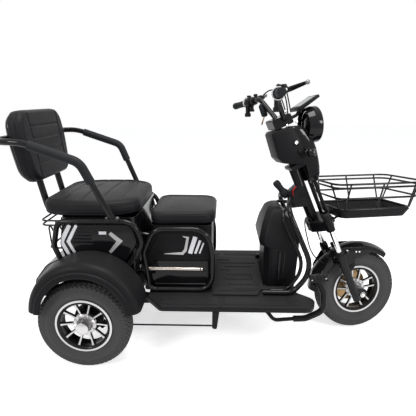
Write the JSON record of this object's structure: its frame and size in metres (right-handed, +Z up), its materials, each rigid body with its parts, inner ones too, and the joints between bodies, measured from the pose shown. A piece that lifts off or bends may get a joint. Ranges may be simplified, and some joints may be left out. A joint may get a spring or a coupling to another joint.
{
  "type": "electric tricycle",
  "caption": "Passenger electric tricycle with steered front wheel, footwell, driver's seat, bench with armrest bow and backrest, front wire basket and rear rack.",
  "frame": {"origin": "on the floor under the middle of the vehicle's overall length and width, as parked", "axes": "+X forward, +Y to the rider's left, +Z up"},
  "size_m": [1.751, 0.81, 1.1095],
  "materials": {
    "frame_paint": "satin",
    "gloss_tube": "gloss",
    "gloss_panel": "gloss",
    "satin_panel": "satin",
    "deck_plastic": "textured",
    "rubber": "matte",
    "tyre_rubber": "matte",
    "rim_alloy": "machined",
    "chrome": "polished",
    "leg_paint": "satin",
    "seat_leather": "semi-matte"
  },
  "bodies": {
    "chassis": {"frame_rails": "frame_paint", "head_tube": "frame_paint", "shield_hoops": "gloss_tube", "shield_inner_hoops": "gloss_tube", "shield_pod": "satin_panel", "footwell_deck": "deck_plastic", "deck_mat": "rubber", "battery_box": "gloss_panel", "driver_box": "satin_panel", "bench_box": "gloss_panel", "driver_hoops": "gloss_tube", "driver_panels": "satin_panel", "bench_hoops": "gloss_tube", "bench_panels": "gloss_panel", "rear_fender_left": "satin_panel", "rear_fender_right": "satin_panel", "rear_axle": "frame_paint", "drive_motor": "frame_paint", "swing_arms": "frame_paint", "rear_shocks": "leg_paint", "tail_guard": "satin_panel", "rear_rack": "gloss_tube", "backrest_cushion": "seat_leather", "backrest_shell": "gloss_panel", "armrest_bow": "gloss_tube", "arm_brackets": "frame_paint", "arm_pad_left": "rubber", "arm_pad_right": "rubber", "backrest_posts": "gloss_tube", "handle_post": "rubber", "brake_pedal": "rubber", "brake_linkage": "frame_paint"},
    "steering": {"fork_crown": "frame_paint", "fork_stanchions": "chrome", "fork_legs": "leg_paint", "head_box": "satin_panel", "front_cowl": "gloss_panel", "headlight": "gloss_panel", "display": "satin_panel", "handlebar": "gloss_tube", "grips": "rubber", "controls": "satin_panel", "turn_signals": "satin_panel", "front_fender": "gloss_panel", "basket_wires": "gloss_tube", "basket_tray": "satin_panel"},
    "front_wheel": {"front_tyre": "tyre_rubber", "front_rim": "rim_alloy"},
    "rear_left_wheel": {"rear_left_tyre": "tyre_rubber", "rear_left_rim": "rim_alloy"},
    "rear_right_wheel": {"rear_right_tyre": "tyre_rubber", "rear_right_rim": "rim_alloy"},
    "driver_seat": {"driver_cushion": "seat_leather"},
    "bench_seat": {"bench_cushion": "seat_leather"}
  },
  "joints": [
    {"name": "steer", "type": "hinge", "parent": "chassis", "child": "steering", "pos_m": [0.56996, 0, 0.16553], "axis": [-0.3939, 0, 0.9191], "range_deg": [-52.5, 27.5]},
    {"name": "front_wheel_spin", "type": "hinge", "parent": "steering", "child": "front_wheel", "pos_m": [0.62828, 0.01407, 0.19053], "axis": [-0.1989, 0.9763, -0.0853], "continuous": true},
    {"name": "rear_left_spin", "type": "hinge", "parent": "chassis", "child": "rear_left_wheel", "pos_m": [-0.5493, 0.321, 0.19], "axis": [0, 1, 0], "continuous": true},
    {"name": "rear_right_spin", "type": "hinge", "parent": "chassis", "child": "rear_right_wheel", "pos_m": [-0.5493, -0.321, 0.19], "axis": [0, 1, 0], "continuous": true},
    {"name": "driver_seat_lid", "type": "hinge", "parent": "chassis", "child": "driver_seat", "pos_m": [-0.0413, 0, 0.554], "axis": [0, 1, 0], "range_deg": [0, 75]},
    {"name": "bench_seat_lid", "type": "hinge", "parent": "chassis", "child": "bench_seat", "pos_m": [-0.3443, 0, 0.606], "axis": [0, 1, 0], "range_deg": [0, 60]}
  ]
}
